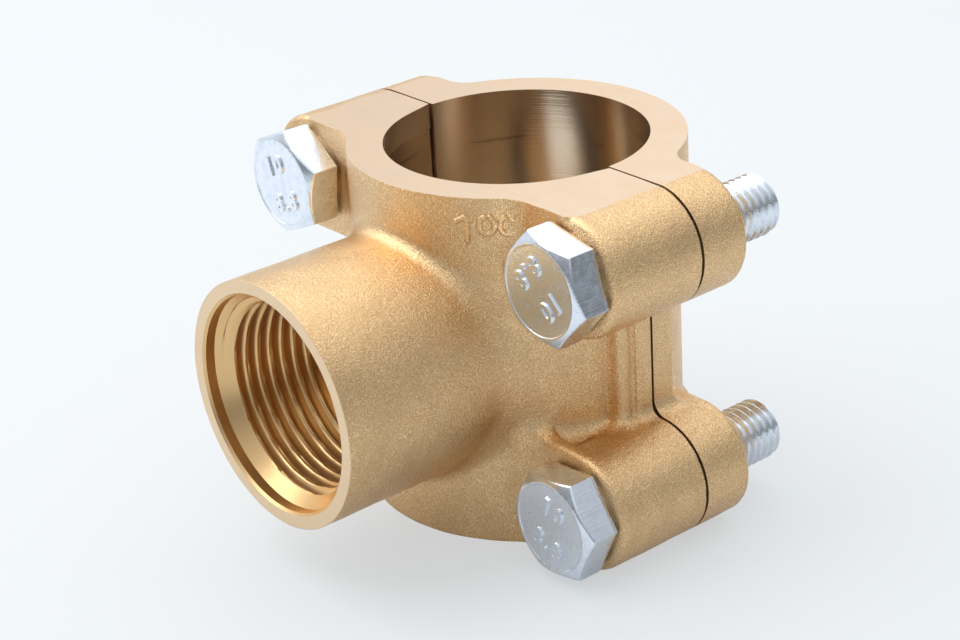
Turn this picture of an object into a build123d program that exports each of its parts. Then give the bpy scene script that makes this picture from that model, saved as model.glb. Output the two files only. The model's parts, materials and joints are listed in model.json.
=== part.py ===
"""Tapping saddle: a two-piece brass pipe clamp with a threaded outlet, four bolts and a port seal.

The pipe axis is Z, the outlet points along -Y, and the origin is where the two axes cross.
The front half carries the outlet and the bolt seats, the rear half carries the tapped lugs.
"""

from build123d import *
from math import radians, sqrt, tan
import os

os.makedirs("parts", exist_ok=True)

# ---- driving dimensions, millimetres ----

# pipe and ring
pipe_diameter = 42.4
pipe_clearance = 0.05
ring_wall = 5.9
body_height = 58.6
split_gap = 0.4

# threaded outlet, G 1 female
outlet_reach = 51.4
outlet_diameter = 40.0
outlet_fillet = 3.5
thread_minor_diameter = 30.291
thread_depth = 26.0
counterbore_diameter = 35.0
counterbore_depth = 2.0
mouth_chamfer = 0.4
port_diameter = 26.0

# bolts, M10 x 40 with hexagon heads
bolt_diameter = 10.0
bolt_length = 40.0
bolt_point = 1.0
head_height = 6.4
head_across_flats = 16.0
head_disc_diameter = 14.9
head_chamfer_angle = 30.0
bolt_offset = 4.75
bolt_inset = 9.65

# lugs that carry the bolts
lug_diameter = 19.4
front_lug_depth = 17.8
rear_lug_depth = 9.5
lug_rounding = 1.2
front_root_fillet = 1.5
rear_root_fillet = 3.0
lug_hole_diameter = 10.5
tapped_hole_clearance = 0.05
seat_clearance = 0.02

# hollow between each front lug and the ring, behind the front wall of the lug
hollow_radius = 3.2
hollow_depth = 0.55
hollow_wall = 1.2
hollow_overlap = 0.2
strip_foot = 1.5

# flat strips along the split, between the lugs
flange_rise = 2.75
front_flange_depth = 3.3
rear_flange_depth = 4.5
pad_rise = 2.35
pad_depth = 6.7
strip_fillet = 1.4
rear_waist_wall = 4.2
rear_band_height = 9.5
band_fillet = 1.5

# pipe seat and port seal
land_height = 4.3
recess_depth = 0.8
split_relief_width = 0.6
split_relief_depth = 1.7
seal_groove_inside = 29.0
seal_groove_outside = 37.0
seal_groove_depth = 1.6
seal_clearance = 0.05

# ---- worked out from the driving dimensions ----

bore_radius = pipe_diameter / 2 + pipe_clearance
ring_radius = bore_radius + ring_wall
rear_waist_radius = bore_radius + rear_waist_wall
half_height = body_height / 2
recess_radius = bore_radius + recess_depth
split_face = split_gap / 2
bolt_x = ring_radius + bolt_offset
bolt_z = half_height - bolt_inset
flange_width = 2 * (ring_radius + flange_rise)
pad_width = 2 * (ring_radius + pad_rise)
lug_radius = lug_diameter / 2
lug_level = bolt_z - lug_radius
waist_height = 2 * bolt_z - lug_radius
beyond = outlet_reach + body_height

# the sketch planes face along the bolts: forwards, out of the outlet, and backwards
forwards = Plane(origin=(0, 0, 0), x_dir=(1, 0, 0), z_dir=(0, -1, 0))
backwards = Plane(origin=(0, 0, 0), x_dir=(-1, 0, 0), z_dir=(0, 1, 0))
bolt_places = [(bolt_x, bolt_z), (bolt_x, -bolt_z), (-bolt_x, bolt_z), (-bolt_x, -bolt_z)]


# ---- section of the four lugs across the bolts: a round boss on a web that runs into the ring ----

with BuildSketch() as lug_section:
    with Locations(*bolt_places):
        Circle(lug_radius)
    for side in (1, -1):
        with Locations((0, side * (lug_level + half_height) / 2)):
            Rectangle(2 * bolt_x, half_height - lug_level)
    Rectangle(2 * bolt_x + lug_diameter, body_height, mode=Mode.INTERSECT)

# ---- sections of the waist across the pipe: the ring with the strips that meet at the split ----

with BuildSketch() as front_waist_section:
    Circle(ring_radius)
    Rectangle(flange_width, 2 * front_flange_depth)
    Rectangle(pad_width, 2 * pad_depth)
    fillet(vertices().group_by(SortBy.DISTANCE)[0], strip_fillet)

with BuildSketch() as rear_waist_section:
    Circle(rear_waist_radius)
    Rectangle(flange_width, 2 * rear_flange_depth)
    fillet(vertices().group_by(SortBy.DISTANCE)[0], strip_fillet)

# ---- sections of the lugs across the pipe, with a fillet between ring and lug face ----

with BuildSketch() as front_root_section:
    Circle(ring_radius)
    Rectangle(2 * bolt_x, 2 * front_lug_depth)
    fillet(vertices().group_by(SortBy.DISTANCE)[0], front_root_fillet)

with BuildSketch() as rear_root_section:
    Circle(ring_radius)
    Rectangle(2 * bolt_x, 2 * rear_lug_depth)
    fillet(vertices().group_by(SortBy.DISTANCE)[0], rear_root_fillet)

# ---- blank of the front lugs, with a rounded hollow that follows the ring ----

hollow_ring_radius = ring_radius + hollow_radius - hollow_overlap
hollow_level = lug_level + hollow_depth - hollow_radius
hollow_end = front_lug_depth - hollow_wall
hollow_length = hollow_end - pad_depth

with BuildPart() as hollow_blank:
    # a raised foot against the ring, and the round hollow that is cut out of it
    for side in (1, -1):
        foot_middle = side * (lug_level + hollow_level) / 2
        with Locations((0, 0, foot_middle)):
            Cylinder(hollow_ring_radius - hollow_radius / 2, abs(lug_level - hollow_level))
    with Locations((0, hollow_length / 2 - hollow_end, 0)):
        Box(2 * bolt_x, hollow_length, body_height, mode=Mode.INTERSECT)

with BuildPart() as hollow_cutter:
    for side in (1, -1):
        with Locations((0, 0, side * hollow_level)):
            Torus(hollow_ring_radius, hollow_radius)
    with Locations((0, hollow_length / 2 - hollow_end, 0)):
        Box(2 * beyond, hollow_length, body_height, mode=Mode.INTERSECT)
    extrude(front_waist_section.sketch, amount=half_height, both=True, mode=Mode.SUBTRACT)

# ---- small fillets where the strips of the split stand on the lugs ----

with BuildSketch() as strip_foot_section:
    for side_x in (1, -1):
        for side_z in (1, -1):
            with Locations((side_x * (pad_width + strip_foot) / 2, side_z * (lug_level - strip_foot / 2))):
                Rectangle(strip_foot, strip_foot)
            with Locations((side_x * (pad_width / 2 + strip_foot), side_z * (lug_level - strip_foot))):
                Circle(strip_foot, mode=Mode.SUBTRACT)

with BuildPart() as front_lugs:
    extrude(forwards * lug_section.sketch, amount=front_lug_depth)
    front_faces = faces().filter_by(Axis.Y).group_by(Axis.Y)[0]
    fillet(front_faces.edges(), lug_rounding)
    for side in (1, -1):
        root_level = side * (lug_level + lug_rounding)
        root_height = half_height - lug_level - 2 * lug_rounding
        extrude(front_root_section.sketch.moved(Pos(Z=root_level)), amount=side * root_height)

# ---- front half: ring, outlet, lugs and strips, then the bores ----

port_start = outlet_reach - thread_depth
cone_depth = (counterbore_diameter - thread_minor_diameter) / 2
recess_height = body_height - 2 * land_height

with BuildPart() as saddle_body:
    Cylinder(ring_radius, body_height)
    with BuildSketch(forwards) as outlet_section:
        Circle(outlet_diameter / 2)
    extrude(amount=outlet_reach)
    outlet_root = edges(Select.LAST).filter_by(GeomType.CIRCLE, reverse=True)
    fillet(outlet_root, outlet_fillet)
    extrude(front_waist_section.sketch, amount=waist_height / 2, both=True)
    add(front_lugs.part)
    extrude(forwards * strip_foot_section.sketch, amount=pad_depth)
    add(hollow_blank.part)
    add(hollow_cutter.part, mode=Mode.SUBTRACT)
    # the half is cut off at the split
    with Locations((0, beyond / 2 - split_face, 0)):
        Box(2 * beyond, beyond, 2 * beyond, mode=Mode.SUBTRACT)
    # pipe seat: a land at each end, a shallow recess between them and a relief at the split
    Cylinder(bore_radius, body_height, mode=Mode.SUBTRACT)
    Cylinder(recess_radius, recess_height, mode=Mode.SUBTRACT)
    with BuildSketch() as split_relief:
        with BuildLine():
            Polyline(
                (bore_radius + split_relief_width, -split_face),
                (bore_radius - split_relief_width, -split_face),
                (bore_radius - split_relief_width, -split_face - 3 * split_relief_depth),
                (bore_radius + split_relief_width, -split_face),
            )
        make_face()
        mirror(about=Plane.YZ)
    extrude(amount=half_height, both=True, mode=Mode.SUBTRACT)
    # outlet bores: counterbore, lead-in cone, thread bore and port
    with BuildSketch(Plane.XY) as outlet_bores:
        with BuildLine():
            Polyline(
                (0, -outlet_reach),
                (counterbore_diameter / 2 + mouth_chamfer, -outlet_reach),
                (counterbore_diameter / 2, -outlet_reach + mouth_chamfer),
                (counterbore_diameter / 2, -outlet_reach + counterbore_depth),
                (thread_minor_diameter / 2, -outlet_reach + counterbore_depth + cone_depth),
                (thread_minor_diameter / 2, -port_start),
                (port_diameter / 2, -port_start),
                (port_diameter / 2, 0),
                (0, 0),
                close=True,
            )
        make_face()
    revolve(axis=Axis.Y, mode=Mode.SUBTRACT)
    # groove of the port seal
    with BuildSketch(forwards) as groove_section:
        Circle(seal_groove_outside / 2)
        Circle(seal_groove_inside / 2, mode=Mode.SUBTRACT)
    groove_blank = extrude(amount=outlet_reach, mode=Mode.PRIVATE)
    groove_reach = Cylinder(recess_radius + seal_groove_depth, body_height, mode=Mode.PRIVATE)
    add(groove_blank & groove_reach, mode=Mode.SUBTRACT)
    # bolt holes
    with BuildSketch(forwards) as bolt_holes:
        with Locations(*bolt_places):
            Circle(lug_hole_diameter / 2)
    extrude(amount=front_lug_depth, mode=Mode.SUBTRACT)

saddle_body.part.label = "saddle_body"
export_step(saddle_body.part, "parts/saddle_body.step")

# ---- rear half: ring, tapped lugs and strips ----

with BuildPart() as rear_clamp:
    Cylinder(rear_waist_radius, body_height)
    for side in (1, -1):
        with Locations((0, 0, side * (half_height - rear_band_height / 2))):
            Cylinder(ring_radius, rear_band_height)
    band_roots = edges().filter_by(GeomType.CIRCLE).group_by(SortBy.RADIUS)[0]
    fillet(band_roots, band_fillet)
    extrude(rear_waist_section.sketch, amount=waist_height / 2, both=True)
    extrude(backwards * lug_section.sketch, amount=rear_lug_depth)
    for side in (1, -1):
        band_face = rear_root_section.sketch.moved(Pos(Z=side * half_height))
        extrude(band_face, amount=-side * rear_band_height)
    with Locations((0, split_face - beyond / 2, 0)):
        Box(2 * beyond, beyond, 2 * beyond, mode=Mode.SUBTRACT)
    Cylinder(bore_radius, body_height, mode=Mode.SUBTRACT)
    with BuildSketch(backwards) as tapped_holes:
        with Locations(*bolt_places):
            Circle(bolt_diameter / 2 + tapped_hole_clearance)
    extrude(amount=rear_lug_depth + rear_root_fillet, mode=Mode.SUBTRACT)

rear_clamp.part.label = "rear_clamp"
export_step(rear_clamp.part, "parts/rear_clamp.step")

# ---- seal: a ring around the port that follows the pipe, in its groove ----

with BuildPart() as port_seal:
    with BuildSketch(forwards) as seal_section:
        Circle(seal_groove_outside / 2 - seal_clearance)
        Circle(seal_groove_inside / 2 + seal_clearance, mode=Mode.SUBTRACT)
    extrude(amount=outlet_reach)
    Cylinder(recess_radius + seal_groove_depth - seal_clearance, body_height, mode=Mode.INTERSECT)
    Cylinder(bore_radius + seal_clearance, body_height, mode=Mode.SUBTRACT)

port_seal.part.label = "port_seal"
export_step(port_seal.part, "parts/port_seal.step")

# ---- bolts: each head stands at its own angle on its seat ----

seat = front_lug_depth + seat_clearance
head_corner_radius = head_across_flats / sqrt(3)
head_chamfer_drop = (head_corner_radius - head_disc_diameter / 2) * tan(radians(head_chamfer_angle))
bolts = {
    "bolt_upper_right": (bolt_places[0], 48.0),
    "bolt_lower_right": (bolt_places[1], 4.0),
    "bolt_upper_left": (bolt_places[2], 23.0),
    "bolt_lower_left": (bolt_places[3], 35.0),
}

for name, (place, turn) in bolts.items():
    head_base = Plane(origin=(place[0], -seat, place[1]), x_dir=(1, 0, 0), z_dir=(0, -1, 0))
    with BuildPart() as bolt:
        with BuildSketch(head_base) as head_section:
            RegularPolygon(head_across_flats / 2, 6, major_radius=False, rotation=turn)
        extrude(amount=head_height)
        # the corners are turned off at the front of the head
        with BuildSketch(Plane(origin=head_base.origin)) as head_turning:
            with BuildLine():
                Polyline(
                    (0, 0),
                    (head_corner_radius, 0),
                    (head_corner_radius, head_chamfer_drop - head_height),
                    (head_disc_diameter / 2, -head_height),
                    (0, -head_height),
                    close=True,
                )
            make_face()
        revolve(axis=Axis(head_base.origin, head_base.z_dir), mode=Mode.INTERSECT)
        with BuildSketch(head_base) as shank_section:
            Circle(bolt_diameter / 2)
        extrude(amount=-bolt_length)
        point_edge = edges().filter_by(GeomType.CIRCLE).sort_by(Axis.Y)[-1]
        chamfer(point_edge, bolt_point)
    bolt.part.label = name
    export_step(bolt.part, f"parts/{name}.step")
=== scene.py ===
"""Tapping saddle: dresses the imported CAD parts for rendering.

The two castings are built as smooth blended forms and then machined with exact cuts,
the bolts get real threads and class numbers, and every surface gets a procedural material.
Lengths inside the builders are in millimetres, in the frame of the CAD; objects are in metres.
"""

import json
from math import cos, pi, radians, sin, tan

import bmesh
import bpy
import numpy as np
from mathutils import Matrix, Vector


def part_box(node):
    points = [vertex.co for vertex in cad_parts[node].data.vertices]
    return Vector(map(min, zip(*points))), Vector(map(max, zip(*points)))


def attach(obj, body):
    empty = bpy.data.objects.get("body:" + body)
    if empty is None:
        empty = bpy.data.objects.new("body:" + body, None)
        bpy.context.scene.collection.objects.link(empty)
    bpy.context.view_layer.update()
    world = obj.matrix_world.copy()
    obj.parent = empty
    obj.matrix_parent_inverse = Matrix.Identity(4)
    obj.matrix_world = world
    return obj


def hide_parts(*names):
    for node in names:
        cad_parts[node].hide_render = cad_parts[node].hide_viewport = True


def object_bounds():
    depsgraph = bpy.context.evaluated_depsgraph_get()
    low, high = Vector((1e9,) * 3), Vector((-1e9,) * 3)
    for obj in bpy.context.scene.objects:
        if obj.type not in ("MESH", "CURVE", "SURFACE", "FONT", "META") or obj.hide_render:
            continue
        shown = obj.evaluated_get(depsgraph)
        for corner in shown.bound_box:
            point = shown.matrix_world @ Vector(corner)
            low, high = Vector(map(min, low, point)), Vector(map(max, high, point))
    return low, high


MM = 0.001

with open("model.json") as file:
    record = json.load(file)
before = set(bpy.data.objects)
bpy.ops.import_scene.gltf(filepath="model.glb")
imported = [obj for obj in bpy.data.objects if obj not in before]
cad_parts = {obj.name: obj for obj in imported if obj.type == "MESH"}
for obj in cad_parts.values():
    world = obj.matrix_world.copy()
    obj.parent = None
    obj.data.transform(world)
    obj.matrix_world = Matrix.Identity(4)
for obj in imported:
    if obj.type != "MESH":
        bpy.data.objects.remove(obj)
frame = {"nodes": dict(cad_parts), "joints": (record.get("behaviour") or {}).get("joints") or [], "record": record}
cad_box = [list(corner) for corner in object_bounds()]

# ---------------------------------------------------------------- sizes, from the CAD frame

record = frame["record"]
mounts = {mount["name"]: mount for mount in record["mounts"]}
joints = {joint["name"]: joint for joint in frame["joints"]}
body_low, body_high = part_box("saddle_body")
rear_low, rear_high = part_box("rear_clamp")

HALF_HEIGHT = body_high.z / MM
OUTLET_REACH = -body_low.y / MM
SPLIT = -body_high.y / MM
RING_RADIUS = rear_high.y / MM
BORE_RADIUS = mounts["pipe_seat"]["dims"]["r_mm"]
THREAD_MINOR_RADIUS = mounts["outlet_thread"]["dims"]["r_mm"]
BOLTS = {
    "upper_right": "bolt_1",
    "lower_right": "bolt_2",
    "upper_left": "bolt_3",
    "lower_left": "bolt_4",
}
BOLT_X = abs(joints["bolt_1_turn"]["pos_m"][0]) / MM
BOLT_Z = abs(joints["bolt_1_turn"]["pos_m"][2]) / MM
LUG_RADIUS = body_high.x / MM - BOLT_X
LUG_LEVEL = BOLT_Z - LUG_RADIUS

# sizes of the castings and cuts, as in the CAD source
OUTLET_RADIUS = 20.0
OUTLET_FILLET = 3.5
FRONT_LUG_DEPTH = 17.8
REAR_LUG_DEPTH = 9.5
LUG_ROUNDING = 1.2
FLANGE_X = 29.9
PAD_X = 29.5
FRONT_FLANGE_DEPTH = 3.3
REAR_FLANGE_DEPTH = 4.5
PAD_DEPTH = 6.5
REAR_WAIST_RADIUS = 25.45
REAR_BAND_LEVEL = 19.8
LAND_HEIGHT = 4.3
RECESS_DEPTH = 0.8
PORT_RADIUS = 13.0
THREAD_DEPTH = 26.0
COUNTERBORE_RADIUS = 17.5
COUNTERBORE_DEPTH = 2.0
MOUTH_CHAMFER = 0.4
OUTLET_PITCH = 2.309
OUTLET_THREAD_HEIGHT = 1.479
FIRST_CREST_DEPTH = 4.6
SEAL_GROOVE = (14.5, 18.5, 1.6)
LUG_HOLE_RADIUS = 5.25
TAPPED_HOLE_RADIUS = 5.05
CAST_EDGE = 0.8
LUG_FILLET = 2.0
REAR_LUG_FILLET = 2.6
STRIP_FILLET = 0.3
RELIEF_WIDTH = 0.6
RELIEF_TIP = 5.1

# M10 x 40 bolts
HEAD_HEIGHT = 6.4
HEAD_FLAT = 8.0
HEAD_DISC = 7.45
HEAD_TURN = {"upper_right": 48.0, "lower_right": 4.0, "upper_left": 23.0, "lower_left": 35.0}
MARKS_TURN = {"upper_right": 226.0, "lower_right": -18.0, "upper_left": 20.0, "lower_left": 110.0}
SHANK_RADIUS = 5.0
SHANK_MINOR_RADIUS = 4.3
SHANK_PITCH = 1.5
BOLT_LENGTH = 40.0
SEAT_CLEARANCE = 0.02
WASHER_RADIUS = 7.1
WASHER_HEIGHT = 0.55
DISC_RECESS = 0.10
LIP_WIDTH = 0.30
HEAD_SOFTNESS = 0.18
MARK_HEIGHT = 3.4
MARK_SPACING = 1.3


# ---------------------------------------------------------------- distance fields of the castings


def union_round(a, b, radius):
    """Both forms, with a fillet of that radius between them."""
    u = np.maximum(radius - a, 0)
    v = np.maximum(radius - b, 0)
    return np.maximum(radius, np.minimum(a, b)) - np.sqrt(u * u + v * v)


def meet_round(a, b, radius):
    """What both forms hold, with the edge rounded to that radius."""
    u = np.maximum(radius + a, 0)
    v = np.maximum(radius + b, 0)
    return np.minimum(-radius, np.maximum(a, b)) + np.sqrt(u * u + v * v)


def smooth_step(low, high, value):
    t = np.clip((value - low) / (high - low), 0, 1)
    return t * t * (3 - 2 * t)


def hand_made(x, y, z):
    """The slow unevenness of a sand casting, a few hundredths of a millimetre."""
    wave = np.sin(0.61 * x + 0.37 * z + 0.8) * np.sin(0.53 * y - 0.29 * x + 1.9)
    ripple = np.sin(1.13 * z - 0.71 * y + 0.4) * np.sin(0.97 * x + 0.83 * y + 2.6)
    return 0.03 * wave + 0.015 * ripple


def lug_section(ax, az, level):
    """A barrel round the bolt, with the web that joins it to the ring down to that level."""
    barrel = np.hypot(ax - BOLT_X, az - BOLT_Z) - LUG_RADIUS
    web = np.maximum(ax - BOLT_X, level - az)
    return np.minimum(barrel, web)


def front_casting(x, y, z):
    """The front half before machining; depth is measured forward from the split."""
    ax, az, depth = np.abs(x), np.abs(z), -y
    around = np.hypot(x, y)
    ring = around - RING_RADIUS
    # a faint step where the ring thickens towards the strips of the split
    ring = np.minimum(ring, meet_round(around - RING_RADIUS - 0.22, depth - 9.4, 0.2))
    outlet = np.hypot(x, z) - OUTLET_RADIUS
    # the fillet is tighter over the top and bottom of the outlet than beside it
    fillet = OUTLET_FILLET - 1.5 * smooth_step(9.0, 18.0, az)
    body = union_round(ring, np.maximum(outlet, y - 5), fillet)
    # strips along the split
    pad_x = PAD_X - 0.3 * np.exp(-(((depth - 3.9) / 0.55) ** 2))
    pad = meet_round(ax - pad_x, depth - PAD_DEPTH, CAST_EDGE)
    flange = meet_round(ax - FLANGE_X, depth - FRONT_FLANGE_DEPTH, 0.35)
    strips = np.maximum(np.minimum(pad, flange), az - LUG_LEVEL - 3)
    body = union_round(body, strips, STRIP_FILLET)
    # lugs: the hollow lies behind the front wall, between the ring and the barrel
    behind = smooth_step(2.0, 3.6, FRONT_LUG_DEPTH - depth) * smooth_step(3.0, 8.0, depth)
    inside = 1 - smooth_step(BOLT_X - 4.5, BOLT_X + 0.5, ax)
    level = LUG_LEVEL + 1.5 * behind * inside
    lug = meet_round(lug_section(ax, az, level), depth - FRONT_LUG_DEPTH, LUG_ROUNDING)
    near_foot = 1 - smooth_step(LUG_LEVEL, LUG_LEVEL + 5, az)
    fillet = LUG_FILLET + 1.2 * near_foot * smooth_step(2.0, 8.0, depth)
    return union_round(body, lug, fillet) + hand_made(x, y, z)


def rear_casting(x, y, z):
    """The rear half before machining."""
    ax, az = np.abs(x), np.abs(z)
    around = np.hypot(x, y)
    band = meet_round(around - RING_RADIUS, REAR_BAND_LEVEL - az, CAST_EDGE)
    body = union_round(around - REAR_WAIST_RADIUS, band, 1.5)
    flange = meet_round(ax - FLANGE_X, y - REAR_FLANGE_DEPTH, 0.5)
    body = union_round(body, np.maximum(flange, az - LUG_LEVEL - 3), 1.0)
    lug = meet_round(lug_section(ax, az, LUG_LEVEL), y - REAR_LUG_DEPTH, CAST_EDGE)
    return union_round(body, lug, REAR_LUG_FILLET) + hand_made(x, y, z)


def surface(field, low, high, step):
    """A smooth quad mesh of the field's zero surface, by naive surface nets and Newton steps."""
    axes = [np.arange(low[i], high[i] + step, step, dtype=np.float32) for i in range(3)]
    grid = np.meshgrid(*axes, indexing="ij")
    value = field(*grid).astype(np.float32)
    inside = value < 0
    shape = np.array(value.shape) - 1
    corners = [(i, j, k) for i in (0, 1) for j in (0, 1) for k in (0, 1)]

    def part(array, corner):
        i, j, k = corner
        return array[i : i + shape[0], j : j + shape[1], k : k + shape[2]]

    count = sum(part(inside, corner).astype(np.int8) for corner in corners)
    cells = np.argwhere((count > 0) & (count < 8))
    index = np.full(tuple(shape), -1, np.int64)
    index[tuple(cells.T)] = np.arange(len(cells))
    total = np.zeros((len(cells), 3))
    crossings = np.zeros(len(cells))
    for a in corners:
        for axis in range(3):
            if a[axis]:
                continue
            b = tuple(a[i] + (i == axis) for i in range(3))
            va = value[tuple((cells + a).T)].astype(float)
            vb = value[tuple((cells + b).T)].astype(float)
            crossed = (va < 0) != (vb < 0)
            t = np.where(crossed, va / np.where(crossed, va - vb, 1), 0)
            point = np.array(a, float) + np.eye(3)[axis] * t[:, None]
            total += point * crossed[:, None]
            crossings += crossed
    points = np.array(low, float) + (cells + total / crossings[:, None]) * step
    # the vertices are pulled onto the surface itself
    nudge = 0.02
    for _ in range(3):
        x, y, z = points.T
        here = field(x, y, z)
        slope = np.stack(
            [
                field(x + nudge, y, z) - field(x - nudge, y, z),
                field(x, y + nudge, z) - field(x, y - nudge, z),
                field(x, y, z + nudge) - field(x, y, z - nudge),
            ],
            axis=1,
        ) / (2 * nudge)
        size = np.maximum((slope**2).sum(1), 0.3)
        move = -(here / size)[:, None] * slope
        points += np.clip(move, -0.4 * step, 0.4 * step)
    faces = []
    for axis in range(3):
        u, v = (axis + 1) % 3, (axis + 2) % 3
        first = np.take(inside, range(0, value.shape[axis] - 1), axis)
        second = np.take(inside, range(1, value.shape[axis]), axis)
        edges = np.argwhere(first != second)
        keep = (edges[:, u] > 0) & (edges[:, v] > 0)
        keep &= (edges[:, u] < shape[u]) & (edges[:, v] < shape[v])
        edges = edges[keep]
        flip = first[tuple(edges.T)]
        ring = []
        for du, dv in ((0, 0), (-1, 0), (-1, -1), (0, -1)):
            cell = edges.copy()
            cell[:, u] += du
            cell[:, v] += dv
            ring.append(index[tuple(cell.T)])
        quads = np.stack(ring, axis=1)
        quads = np.where(flip[:, None], quads, quads[:, ::-1])
        faces.append(quads)
    return points, np.concatenate(faces)


def make_object(name, points, faces, materials=()):
    """An object in the scene, from points in millimetres."""
    mesh = bpy.data.meshes.new(name)
    mesh.from_pydata((np.asarray(points) * MM).tolist(), [], [list(map(int, f)) for f in faces])
    mesh.update()
    obj = bpy.data.objects.new(name, mesh)
    bpy.context.scene.collection.objects.link(obj)
    for material in materials:
        mesh.materials.append(material)
    return obj


def tube_faces(rows, count):
    """The faces of a closed tube: rows of count points each, and a cap at both ends."""
    faces = []
    for r in range(rows - 1):
        for c in range(count):
            d = (c + 1) % count
            faces.append((r * count + c, r * count + d, (r + 1) * count + d, (r + 1) * count + c))
    faces.append(tuple(range(count - 1, -1, -1)))
    faces.append(tuple(range((rows - 1) * count, rows * count)))
    return faces


def joined(parts):
    """Several (points, faces) shells as one."""
    points, faces = np.zeros((0, 3)), []
    for more_points, more_faces in parts:
        faces += [tuple(i + len(points) for i in face) for face in more_faces]
        points = np.concatenate([points, more_points])
    return points, faces


def face_outward(mesh):
    """Turns every shell's faces outward."""
    shell = bmesh.new()
    shell.from_mesh(mesh)
    bmesh.ops.recalc_face_normals(shell, faces=shell.faces)
    shell.to_mesh(mesh)
    shell.free()


def block(name, low, high, material):
    xs, ys, zs = zip(low, high)
    corners = [(x, y, z) for x in xs for y in ys for z in zs]
    faces = [(0, 1, 3, 2), (4, 6, 7, 5), (0, 4, 5, 1), (2, 3, 7, 6), (0, 2, 6, 4), (1, 5, 7, 3)]
    return make_object(name, corners, faces, [material])


def turned(name, radii, stations, place, axis, material, count=192):
    """A closed solid turned about an axis; radii may be a function of angle and station."""
    angles = np.arange(count) * 2 * pi / count
    points = []
    for i, station in enumerate(stations):
        radius = radii[i] if not callable(radii) else radii(angles, station)
        radius = np.broadcast_to(radius, angles.shape)
        a, b = radius * np.sin(angles), radius * np.cos(angles)
        along = np.full(count, station, float)
        # about +Y the right-hand turn goes from Z to X, about +Z from X to Y
        ring = (a, along, b) if axis == "Y" else (b, a, along)
        points.append(np.stack(ring, axis=1) + np.array(place))
    faces = tube_faces(len(stations), count)
    return make_object(name, np.concatenate(points), faces, [material])


def bored(name, radius, ends, axis, material, count, place=(0, 0, 0)):
    """A plain cylinder, as a tool."""
    return turned(name, [radius] * 2, ends, place, axis, material, count)


def cut(target, tool, operation="DIFFERENCE"):
    """Machines the target with the tool, which is then thrown away."""
    modifier = target.modifiers.new("cut", "BOOLEAN")
    modifier.operation = operation
    modifier.solver = "MANIFOLD"
    modifier.material_mode = "TRANSFER"
    modifier.object = tool
    depsgraph = bpy.context.evaluated_depsgraph_get()
    result = bpy.data.meshes.new_from_object(target.evaluated_get(depsgraph))
    target.modifiers.clear()
    old = target.data
    target.data = result
    bpy.data.meshes.remove(old)
    tool_mesh = tool.data
    bpy.data.objects.remove(tool)
    bpy.data.meshes.remove(tool_mesh)


def finish_mesh(obj, angle=32.0):
    """Smooth shading, with edges sharper than the angle kept crisp."""
    for polygon in obj.data.polygons:
        polygon.use_smooth = True
    obj.data.set_sharp_from_angle(angle=radians(angle))
    for polygon in obj.data.polygons:
        # broad machined faces are truly flat
        if max(abs(value) for value in polygon.normal) > 0.99999 and polygon.area > 4 * MM * MM:
            polygon.use_smooth = False


# ---------------------------------------------------------------- materials


NOISE_ROUGHNESS = 0.55


class Nodes:
    """A node tree whose nodes are added by short calls."""

    def __init__(self, tree):
        self.tree = tree

    def node(self, kind, **settings):
        node = self.tree.nodes.new(kind)
        for key, value in settings.items():
            setattr(node, key, value)
        return node

    def feed(self, socket, value):
        if isinstance(value, bpy.types.NodeSocket):
            self.tree.links.new(value, socket)
        else:
            socket.default_value = value

    def span(self, value, low, high, to_low=0.0, to_high=1.0):
        ramp = self.node("ShaderNodeMapRange", interpolation_type="SMOOTHSTEP")
        self.feed(ramp.inputs["Value"], value)
        numbers = {"From Min": low, "From Max": high, "To Min": to_low, "To Max": to_high}
        for key, number in numbers.items():
            ramp.inputs[key].default_value = number
        return ramp.outputs["Result"]

    def math(self, operation, a, b=0.0):
        node = self.node("ShaderNodeMath", operation=operation)
        self.feed(node.inputs[0], a)
        self.feed(node.inputs[1], b)
        return node.outputs[0]


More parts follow.
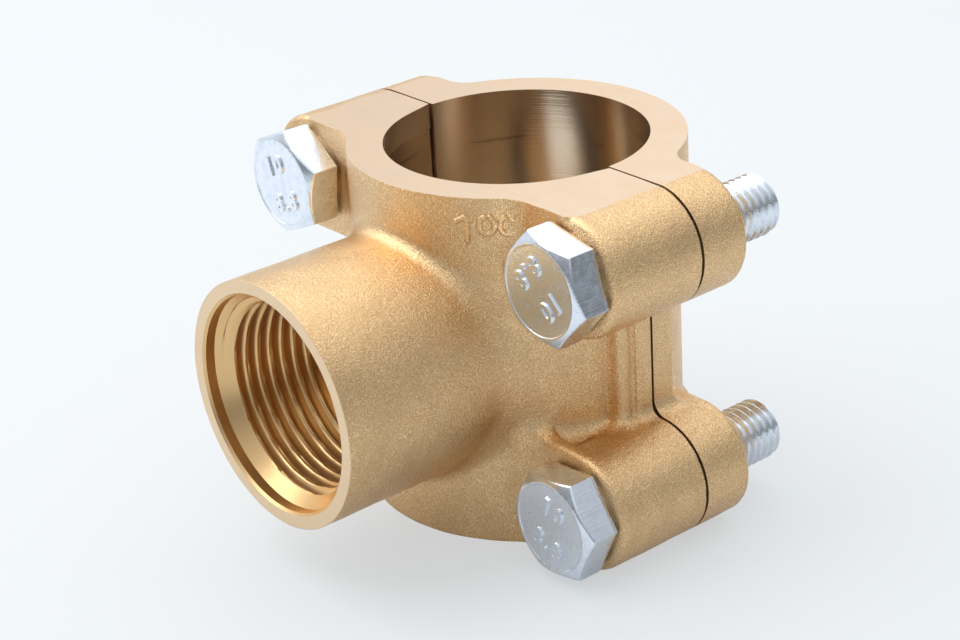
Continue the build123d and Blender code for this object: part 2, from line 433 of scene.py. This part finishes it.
class Material(Nodes):
    """A Principled material."""

    def __init__(self, name, colour, roughness, metallic=1.0):
        self.material = bpy.data.materials.new(name)
        self.material.use_nodes = True
        self.material.diffuse_color = (*colour, 1)
        super().__init__(self.material.node_tree)
        self.shader = self.tree.nodes["Principled BSDF"]
        self.feed(self.shader.inputs["Base Color"], (*colour, 1))
        self.feed(self.shader.inputs["Roughness"], roughness)
        self.feed(self.shader.inputs["Metallic"], metallic)
        self.place = self.node("ShaderNodeTexCoord").outputs["Object"]
        self.normal = None

    def colour(self, value):
        self.feed(self.shader.inputs["Base Color"], value)

    def roughness(self, value):
        self.feed(self.shader.inputs["Roughness"], value)

    def noise(self, size, detail=2.0, stretch=(1, 1, 1)):
        """Noise whose grain is about that many millimetres, longer where stretched."""
        mapping = self.node("ShaderNodeMapping")
        self.feed(mapping.inputs["Vector"], self.place)
        mapping.inputs["Scale"].default_value = [1 / value for value in stretch]
        noise = self.node("ShaderNodeTexNoise")
        self.feed(noise.inputs["Vector"], mapping.outputs[0])
        self.feed(noise.inputs["Scale"], 1 / (size * MM))
        self.feed(noise.inputs["Detail"], detail)
        self.feed(noise.inputs["Roughness"], NOISE_ROUGHNESS)
        return noise.outputs[0]

    def mix(self, factor, a, b):
        node = self.node("ShaderNodeMix", data_type="RGBA")
        self.feed(node.inputs[0], factor)
        self.feed(node.inputs[6], a if isinstance(a, bpy.types.NodeSocket) else (*a, 1))
        self.feed(node.inputs[7], b if isinstance(b, bpy.types.NodeSocket) else (*b, 1))
        return node.outputs[2]

    def bump(self, height, depth, strength=1.0):
        """Adds relief; depth is in millimetres for a height of one."""
        node = self.node("ShaderNodeBump")
        self.feed(node.inputs["Strength"], strength)
        self.feed(node.inputs["Distance"], depth * MM)
        self.feed(node.inputs["Height"], height)
        if self.normal is not None:
            self.feed(node.inputs["Normal"], self.normal)
        self.normal = node.outputs[0]
        self.feed(self.shader.inputs["Normal"], self.normal)

    def soften_edges(self, radius):
        bevel = self.node("ShaderNodeBevel", samples=4)
        self.feed(bevel.inputs["Radius"], radius * MM)
        self.normal = bevel.outputs[0]
        self.feed(self.shader.inputs["Normal"], self.normal)


def make_cast_brass():
    """Shot-blasted bronze-gold casting: fine sparkling grain over slow, faint mottling."""
    m = Material("cast_brass", (0.70, 0.49, 0.27), 0.42)
    grain = m.noise(0.22, 3.0)
    coarse = m.noise(0.7, 2.0)
    mottle = m.noise(7.0, 3.0)
    colour = m.mix(m.span(grain, 0.36, 0.66), (0.71, 0.44, 0.19), (1.0, 0.73, 0.44))
    m.colour(m.mix(m.span(mottle, 0.40, 0.70, 0.0, 0.35), colour, (0.66, 0.44, 0.23)))
    m.roughness(m.span(grain, 0.3, 0.7, 0.36, 0.24))
    m.soften_edges(0.28)
    m.bump(coarse, 0.10, 0.8)
    m.bump(grain, 0.12, 1.0)
    return m.material


def make_machined_brass():
    """Faced and turned brass, pale and smooth, with faint tool marks."""
    m = Material("machined_brass", (0.87, 0.73, 0.57), 0.36)
    cloud = m.noise(6.0, 4.0)
    patches = m.span(cloud, 0.35, 0.70, 0.0, 0.5)
    m.colour(m.mix(patches, (0.81, 0.62, 0.44), (0.77, 0.57, 0.39)))
    m.roughness(m.span(cloud, 0.3, 0.7, 0.32, 0.42))
    m.bump(m.noise(0.5, 2.0), 0.02, 0.5)
    return m.material


def make_turned_brass():
    """The faced mouth of the outlet."""
    m = Material("turned_brass", (0.85, 0.64, 0.42), 0.34)
    m.colour(m.mix(m.noise(4.0, 3.0), (0.87, 0.67, 0.45), (0.80, 0.60, 0.38)))
    m.soften_edges(0.3)
    m.bump(m.noise(0.5, 2.0), 0.02, 0.5)
    return m.material


def make_bored_brass():
    """The bored pipe seat: darker, glossier, with fine turning lines and a few dark smears."""
    m = Material("bored_brass", (0.78, 0.62, 0.45), 0.22)
    lines = m.noise(0.25, 2.0, (80, 80, 1))
    smear = m.span(m.noise(1.8, 3.0, (9, 9, 1)), 0.62, 0.76, 0.0, 0.6)
    m.colour(m.mix(smear, (0.88, 0.72, 0.54), (0.36, 0.27, 0.18)))
    m.bump(lines, 0.02, 1.0)
    return m.material


def make_outlet_inside_with_painted_reflection():
    """The turned inside of the outlet, in a warmer, deeper gold than the faced mouth: the brass's own colour with
    painted reflection of the brass walls on one another deep in the port.
    """
    m = Material("outlet_gold_painted_reflection", (0.80, 0.55, 0.28), 0.33)
    chatter = m.noise(0.3, 1.0, (1, 8, 1))
    # painted reflection: both golds are deeper and warmer than the mouth's, for the brass walls mirroring each
    # other inside the port
    m.colour(m.mix(m.noise(3.0, 3.0), (0.82, 0.54, 0.24), (0.76, 0.52, 0.27)))
    m.bump(chatter, 0.015, 0.5)
    return m.material


def make_zinc():
    """Bright zinc plating with a blue cast and a little unevenness."""
    m = Material("zinc", (0.78, 0.84, 0.93), 0.19)
    cloud = m.noise(1.6, 4.0)
    drawn = m.noise(0.45, 3.0, (1, 30, 1))
    m.colour(m.mix(m.span(cloud, 0.35, 0.75), (0.86, 0.92, 1.0), (0.77, 0.84, 0.94)))
    m.roughness(m.span(cloud, 0.35, 0.75, 0.20, 0.31))
    m.soften_edges(0.15)
    m.bump(cloud, 0.02, 0.5)
    m.bump(drawn, 0.035, 0.7)
    return m.material


def make_rubber():
    """The black seal, faintly rough."""
    m = Material("seal_rubber", (0.018, 0.018, 0.02), 0.55, 0.0)
    m.bump(m.noise(0.25, 2.0), 0.02, 0.5)
    return m.material


cast_brass = make_cast_brass()
machined_brass = make_machined_brass()
turned_brass = make_turned_brass()
bored_brass = make_bored_brass()
outlet_gold_painted_reflection = make_outlet_inside_with_painted_reflection()
zinc = make_zinc()
rubber = make_rubber()

# ---------------------------------------------------------------- castings

VOXEL = 0.5
STOCK = 1.5  # what is left on each face for the cut that follows
REACH_X = BOLT_X + LUG_RADIUS + STOCK
REACH_Z = HALF_HEIGHT + STOCK
FAR = 120.0
FINE, MEDIUM = 240, 144  # sides of the turned tools


def front_blank(x, y, z):
    ends = np.maximum(y - STOCK, -y - OUTLET_REACH - STOCK)
    return np.maximum(np.maximum(front_casting(x, y, z), np.abs(z) - REACH_Z), ends)


def rear_blank(x, y, z):
    return np.maximum(np.maximum(rear_casting(x, y, z), np.abs(z) - REACH_Z), -STOCK - y)


def casting(name, field, low_y, high_y):
    low, high = (-REACH_X, low_y, -REACH_Z - STOCK), (REACH_X, high_y, REACH_Z + STOCK)
    return make_object(name, *surface(field, low, high, VOXEL), [cast_brass])


body = casting("front_casting", front_blank, -OUTLET_REACH - 2 * STOCK, 2 * STOCK)
rear = casting("rear_casting", rear_blank, -2 * STOCK, RING_RADIUS + 2)


def split_tool(level):
    """What lies behind the split: its face wanders a little, as a cast and filed joint does."""
    xs = np.concatenate([[-FAR], np.arange(-REACH_X, REACH_X, 0.8), [FAR]])
    zs = np.concatenate([[-FAR], np.arange(-REACH_Z, REACH_Z, 0.8), [FAR]])
    x, z = np.meshgrid(xs, zs, indexing="ij")
    outer = smooth_step(28.0, 34.0, np.abs(x))
    wave = np.sin(0.9 * z + 0.4 * x) * np.sin(0.43 * z + 1.1) + 0.5 * np.sin(2.3 * z - 0.7 * x)
    middle = (1 - smooth_step(11.0, 16.0, np.abs(z - 1))) * (z > 0)
    close = middle * smooth_step(31.0, 36.0, np.abs(x))
    face = level - (0.10 + 0.06 * wave) * outer + 0.36 * close
    rows, columns = x.shape
    front = np.stack([x, face, z], axis=2).reshape(-1, 3)
    back = np.stack([x, np.full_like(x, FAR), z], axis=2).reshape(-1, 3)
    at = np.arange(rows * columns).reshape(rows, columns)
    quads = []
    for i in range(rows - 1):
        for j in range(columns - 1):
            quads.append((at[i, j], at[i + 1, j], at[i + 1, j + 1], at[i, j + 1]))
    offset = rows * columns
    faces = quads + [tuple(i + offset for i in reversed(quad)) for quad in quads]
    rim = [*at[:, 0], *at[-1, 1:], *at[-2::-1, -1], *at[0, -2:0:-1]]
    for a, b in zip(rim, [*rim[1:], rim[0]]):
        faces.append((b, a, a + offset, b + offset))
    return make_object("split_cut", np.concatenate([front, back]), faces, [machined_brass])


for half in (body, rear):
    for side in (1, -1):
        low, high = sorted((side * HALF_HEIGHT, side * FAR))
        cut(half, block("face_cut", (-FAR, -FAR, low), (FAR, FAR, high), machined_brass))
cut(body, split_tool(-SPLIT))
cut(body, block("mouth_cut", (-FAR, -FAR, -FAR), (FAR, -OUTLET_REACH, FAR), turned_brass))
cut(rear, block("split_cut", (-FAR, -FAR, -FAR), (FAR, SPLIT, FAR), machined_brass))

# pipe seat
land = HALF_HEIGHT - LAND_HEIGHT
recess = BORE_RADIUS + RECESS_DEPTH
through = [-REACH_Z, REACH_Z]
cut(body, bored("bore_cut", BORE_RADIUS, through, "Z", machined_brass, FINE))
cut(body, bored("recess_cut", recess, [-land, land], "Z", bored_brass, FINE))
cut(rear, bored("bore_cut", BORE_RADIUS, through, "Z", bored_brass, FINE))
for side in (1, -1):
    outer, inner = side * (BORE_RADIUS + RELIEF_WIDTH), side * (BORE_RADIUS - RELIEF_WIDTH)
    section = [(outer, 0.1 - SPLIT), (inner, 0.1 - SPLIT), (inner, -RELIEF_TIP), (outer, -SPLIT - 0.05)]
    prism = [(x, y, z) for z in (-REACH_Z, REACH_Z) for x, y in section]
    sides = [(i, (i + 1) % 4, (i + 1) % 4 + 4, i + 4) for i in range(4)]
    tool = make_object("relief_cut", prism, sides + [(3, 2, 1, 0), (4, 5, 6, 7)], [machined_brass])
    face_outward(tool.data)
    cut(body, tool)


# outlet: counterbore, lead-in cone, thread and port
def thread_wave(phase):
    """From -1 at a root to 1 at a crest, with straight flanks and rounded ends."""
    ramp = 4 * np.abs((phase % 1.0) - 0.5) - 1
    return np.sin(0.5 * pi * np.clip(1.05 * ramp + 0.1, -1, 1))


def outlet_wall(angles, station):
    """The radius of the outlet's inside all round, at one station along its axis."""
    depth = station + OUTLET_REACH
    if depth <= MOUTH_CHAMFER:
        return np.full_like(angles, COUNTERBORE_RADIUS + MOUTH_CHAMFER - max(depth, 0))
    if depth <= COUNTERBORE_DEPTH:
        return np.full_like(angles, COUNTERBORE_RADIUS)
    if depth >= THREAD_DEPTH:
        return np.full_like(angles, PORT_RADIUS)
    cone = COUNTERBORE_RADIUS - (depth - COUNTERBORE_DEPTH)
    fade = np.clip((THREAD_DEPTH - depth) / 1.5, 0, 1)
    phase = (depth - FIRST_CREST_DEPTH) / OUTLET_PITCH - angles / (2 * pi)
    groove = 0.5 * OUTLET_THREAD_HEIGHT * (1 - thread_wave(phase))
    return np.maximum(cone, THREAD_MINOR_RADIUS + groove * fade)


rows = np.arange(COUNTERBORE_DEPTH + 0.3, THREAD_DEPTH - 0.02, 0.16)
depths = [-2.0, 0.0, MOUTH_CHAMFER, COUNTERBORE_DEPTH, *rows, THREAD_DEPTH - 0.01, THREAD_DEPTH]
depths = [*depths, OUTLET_REACH - 12.0]
stations = [depth - OUTLET_REACH for depth in depths]
cut(body, turned("outlet_cut", outlet_wall, stations, (0, 0, 0), "Y", outlet_gold_painted_reflection, MEDIUM))

# seal groove around the port
inner, outer, groove_depth = SEAL_GROOVE
ring_tool = bored("groove", outer, [-30.0, -10.0], "Y", machined_brass, 96)
cut(ring_tool, bored("core", inner, [-31.0, -9.0], "Y", machined_brass, 96))
reach = bored("reach", recess + groove_depth, [-25.0, 25.0], "Z", machined_brass, FINE)
cut(ring_tool, reach, "INTERSECT")
cut(body, ring_tool)

# bolt holes
for side_x in (1, -1):
    for side_z in (1, -1):
        place = (side_x * BOLT_X, 0, side_z * BOLT_Z)
        cut(body, bored("hole", LUG_HOLE_RADIUS, [-30, 5], "Y", machined_brass, 64, place))
        cut(rear, bored("hole", TAPPED_HOLE_RADIUS, [-5, 30], "Y", machined_brass, 64, place))

for obj, node, body_name in ((body, "saddle_body", "front_half"), (rear, "rear_clamp", "rear_half")):
    finish_mesh(obj)
    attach(obj, body_name)
    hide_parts(node)

# ---------------------------------------------------------------- cast numerals on the ring


def stroke(path, radius=0.52, sides=12):
    """A round-topped raised line on the ring wall; the path is (angle in degrees, z) points."""
    angle, level = np.array(path, float).T
    a = np.radians(angle)
    reach = RING_RADIUS - 0.08
    centre = np.stack([reach * np.cos(a), reach * np.sin(a), level], axis=1)
    outward = np.stack([np.cos(a), np.sin(a), np.zeros(len(a))], axis=1)
    tangent = np.gradient(centre, axis=0)
    tangent /= np.linalg.norm(tangent, axis=1)[:, None]
    beside = np.cross(tangent, outward)
    turn = np.arange(sides) * 2 * pi / sides
    up, across = np.cos(turn)[None, :, None], np.sin(turn)[None, :, None]
    around = outward[:, None] * up + beside[:, None] * across
    ends = np.ones(len(a))
    ends[[0, -1]] = 0.35
    points = (centre[:, None] + around * (radius * ends)[:, None, None]).reshape(-1, 3)
    return points, tube_faces(len(a), sides)


def line(start, end, count=12):
    return np.linspace(start, end, count)


def oval(angle, level, half_angle, half_height, count=32):
    t = np.linspace(0.0, 2 * pi, count)
    return np.stack([angle + half_angle * np.sin(t), level + half_height * np.cos(t)], axis=1)


NUMERALS = [
    line((-57.4, 26.4), (-57.4, 21.9)),
    line((-61.6, 25.2), (-57.4, 26.4)),
    oval(-50.8, 25.0, 2.5, 1.4),
    oval(-44.2, 25.0, 2.5, 1.4),
]
numerals = make_object("cast_numerals", *joined(stroke(path) for path in NUMERALS), [cast_brass])
finish_mesh(numerals, 60.0)
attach(numerals, "front_half")

# ---------------------------------------------------------------- bolts


def head_mesh(turn):
    """A hexagon head with turned corners: a grid round the axis, in the head's own frame."""
    count = 144
    slope = tan(radians(30))
    angles = np.arange(count) * 2 * pi / count + radians(turn)
    to_flat = (angles - radians(turn)) % (pi / 3) - pi / 6
    hexagon = HEAD_FLAT / np.cos(to_flat)
    shoulder = HEAD_HEIGHT - (hexagon - HEAD_DISC) * slope
    disc = HEAD_HEIGHT - DISC_RECESS
    soft = HEAD_SOFTNESS
    lip = HEAD_DISC - LIP_WIDTH
    rows = [
        (4.0, 0.0),
        (WASHER_RADIUS, 0.0),
        (WASHER_RADIUS, WASHER_HEIGHT),
        (hexagon - 0.45, WASHER_HEIGHT),
        (hexagon - 0.16, 0.72),
        (hexagon - 0.10, 1.15),
        (hexagon, 1.25),
        (hexagon, shoulder - soft),
        (hexagon - soft * 0.35, shoulder - soft * 0.25),
        (hexagon - soft, shoulder + soft * slope),
        (HEAD_DISC + soft, HEAD_HEIGHT - soft * 0.5),
        (HEAD_DISC - 0.05, HEAD_HEIGHT),
        (lip, HEAD_HEIGHT),
        (lip - 0.12, disc),
        (lip * 0.5, disc),
        (0.4, disc),
    ]
    points = []
    for radius, height in rows:
        height = np.broadcast_to(height, angles.shape)
        points.append(np.stack([radius * np.cos(angles), -height, radius * np.sin(angles)], axis=1))
    return np.concatenate(points), tube_faces(len(rows), count)


def shank_mesh():
    """The threaded shank, right-handed, from inside the head to the chamfered point."""
    count = 48
    angles = np.arange(count) * 2 * pi / count
    stations = np.concatenate([[-1.0, 0.0], np.arange(0.4, BOLT_LENGTH, 0.15), [BOLT_LENGTH]])
    height = SHANK_RADIUS - SHANK_MINOR_RADIUS
    points = []
    for station in stations:
        phase = station / SHANK_PITCH - angles / (2 * pi)
        ramp = np.clip(1.3 * (4 * np.abs(phase % 1.0 - 0.5) - 1), -1, 1)
        thread = SHANK_RADIUS - 0.5 * height * (1 - ramp)
        run_out = np.clip((station - 1.0) / 1.5, 0, 1)
        radius = SHANK_MINOR_RADIUS + (thread - SHANK_MINOR_RADIUS) * run_out
        radius = np.minimum(radius, SHANK_RADIUS - 1.1 + (BOLT_LENGTH - station) * 1.1)
        along = np.full(count, station)
        points.append(np.stack([radius * np.sin(angles), along, radius * np.cos(angles)], axis=1))
    return np.concatenate(points), tube_faces(len(stations), count)


def raised_text(text):
    """Rounded raised characters about the origin: x along the line, y up, z out of the face."""
    curve = bpy.data.curves.new("mark", "FONT")
    curve.body = text
    curve.space_character = MARK_SPACING
    curve.resolution_u = 4
    curve.offset = 0.03
    curve.extrude = 0.03
    curve.bevel_depth = 0.03
    curve.bevel_resolution = 2
    holder = bpy.data.objects.new("mark", curve)
    bpy.context.scene.collection.objects.link(holder)
    depsgraph = bpy.context.evaluated_depsgraph_get()
    mesh = bpy.data.meshes.new_from_object(holder.evaluated_get(depsgraph))
    points = np.array([vertex.co for vertex in mesh.vertices])
    faces = [tuple(polygon.vertices) for polygon in mesh.polygons]
    bpy.data.objects.remove(holder)
    bpy.data.curves.remove(curve)
    bpy.data.meshes.remove(mesh)
    low, high = points.min(0), points.max(0)
    points -= (low + high) / 2
    points *= MARK_HEIGHT / (high[1] - low[1])
    return points, faces


def head_marks(turn):
    """The strength class and the size as plain numbers in two rows on the head."""
    rows = []
    for text, level in (("8.8", -3.2), ("10", 3.1)):
        points, faces = raised_text(text)
        rows.append((points + (0, level, 0), faces))
    points, faces = joined(rows)
    across, along, out = points.T
    out = out * 1.1 + 0.05
    a = radians(turn)
    face_x = across * cos(a) - along * sin(a)
    face_z = across * sin(a) + along * cos(a)
    return np.stack([face_x, -(HEAD_HEIGHT - DISC_RECESS) - out, face_z], axis=1), faces


for name, body_name in BOLTS.items():
    x, _, z = [value / MM for value in joints[body_name + "_turn"]["pos_m"]]
    seat = -(FRONT_LUG_DEPTH + SEAT_CLEARANCE)
    points, faces = joined((head_mesh(HEAD_TURN[name]), shank_mesh(), head_marks(MARKS_TURN[name])))
    points += np.array((x, seat, z))
    bolt = make_object("bolt_" + name + "_detail", points, faces, [zinc])
    face_outward(bolt.data)
    finish_mesh(bolt, 20.0)
    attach(bolt, body_name)
    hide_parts("bolt_" + name)

seal = frame["nodes"]["port_seal"]
seal.data.materials.clear()
seal.data.materials.append(rubber)

# ---------------------------------------------------------------- floor, light and camera

PAPER = (0.68, 0.70, 0.72)
PAPER_SEEN = (0.93, 0.97, 0.99)
GLOW_SEEN, GLOW_MIRRORED = 0.55, 0.3
FLOOR_REACH = 3000
FLOOR_GAP = 0.00002
signs = ((-1, -1), (1, -1), (1, 1), (-1, 1))
floor = make_object("floor", [(FLOOR_REACH * i, FLOOR_REACH * j, 0) for i, j in signs], [(0, 1, 2, 3)])
floor.location.z = cad_box[0][2] - FLOOR_GAP


def make_floor():
    """Pale paper, half lit and half glowing to the lens, so the shadow on it stays light."""
    m = Material("paper", PAPER, 0.55, 0.0)
    seen = m.node("ShaderNodeLightPath")
    mirrored = m.math("MAXIMUM", seen.outputs["Is Glossy Ray"], seen.outputs["Is Transmission Ray"])
    mirrored = m.math("MULTIPLY", mirrored, GLOW_MIRRORED)
    facing = m.math("MAXIMUM", seen.outputs["Is Camera Ray"], mirrored)
    glow = m.node("ShaderNodeEmission")
    m.feed(glow.inputs["Color"], (*PAPER_SEEN, 1))
    m.feed(glow.inputs["Strength"], 1.0)
    blend = m.node("ShaderNodeMixShader")
    m.feed(blend.inputs[0], m.math("MULTIPLY", facing, GLOW_SEEN))
    m.feed(blend.inputs[1], m.shader.outputs[0])
    m.feed(blend.inputs[2], glow.outputs[0])
    m.feed(m.tree.nodes["Material Output"].inputs["Surface"], blend.outputs[0])
    return m.material


floor.data.materials.append(make_floor())


def make_studio():
    """A light room: bright overhead and to the left, dim towards the other sides."""
    world = bpy.data.worlds.new("studio")
    world.use_nodes = True
    w = Nodes(world.node_tree)
    split = w.node("ShaderNodeSeparateXYZ")
    w.feed(split.inputs[0], w.node("ShaderNodeTexCoord").outputs["Generated"])
    overhead = w.span(split.outputs["Z"], -0.05, 0.70, 0.10, 0.80)
    leftward = w.math("MULTIPLY", split.outputs["X"], -0.95)
    aside = w.math("ADD", leftward, w.math("MULTIPLY", split.outputs["Y"], 0.25))
    backdrop = w.span(aside, 0.10, 0.75, 0.0, 0.85)
    light = w.node("ShaderNodeBackground")
    w.feed(light.inputs["Color"], (0.93, 0.965, 1.0, 1))
    w.feed(light.inputs["Strength"], w.math("MAXIMUM", overhead, backdrop))
    w.feed(w.tree.nodes["World Output"].inputs["Surface"], light.outputs[0])
    return world


bpy.context.scene.world = make_studio()


def area_light(name, place, size, power):
    """A square lamp that looks at the object."""
    light = bpy.data.lights.new(name, "AREA")
    light.shape = "SQUARE"
    light.size = size
    light.energy = power
    lamp = bpy.data.objects.new(name, light)
    bpy.context.scene.collection.objects.link(lamp)
    lamp.location = place
    lamp.rotation_euler = (-Vector(place)).to_track_quat("-Z", "Y").to_euler()


area_light("key", (-0.34, -0.24, 0.56), 0.72, 3.3)
area_light("overhead", (-0.10, 0.35, 0.60), 0.95, 1.6)

# the camera, by its direction from the object, its roll and where it aims
AZIMUTH, ELEVATION, ROLL = radians(51.254), radians(24.779), radians(-3.506)
DISTANCE = 0.386483
AIM = (-0.007376, -0.002891)
LENS = 88.49
SENSOR = 36.0
back = Vector((sin(AZIMUTH) * cos(ELEVATION), -cos(AZIMUTH) * cos(ELEVATION), sin(ELEVATION)))
level_right = Vector((cos(AZIMUTH), sin(AZIMUTH), 0))
level_up = back.cross(level_right)
right = cos(ROLL) * level_right + sin(ROLL) * level_up
up = -sin(ROLL) * level_right + cos(ROLL) * level_up
camera_data = bpy.data.cameras.new("camera")
camera = bpy.data.objects.new("camera", camera_data)
bpy.context.scene.collection.objects.link(camera)
camera_data.sensor_width = SENSOR
camera_data.lens = LENS
camera_data.clip_start = 0.01
place = right * AIM[0] + up * AIM[1] + back * DISTANCE
columns = Matrix((right, up, back)).transposed().to_4x4()
camera.matrix_world = Matrix.Translation(place) @ columns
bpy.context.scene.camera = camera
bpy.context.scene.view_settings.view_transform = "Standard"
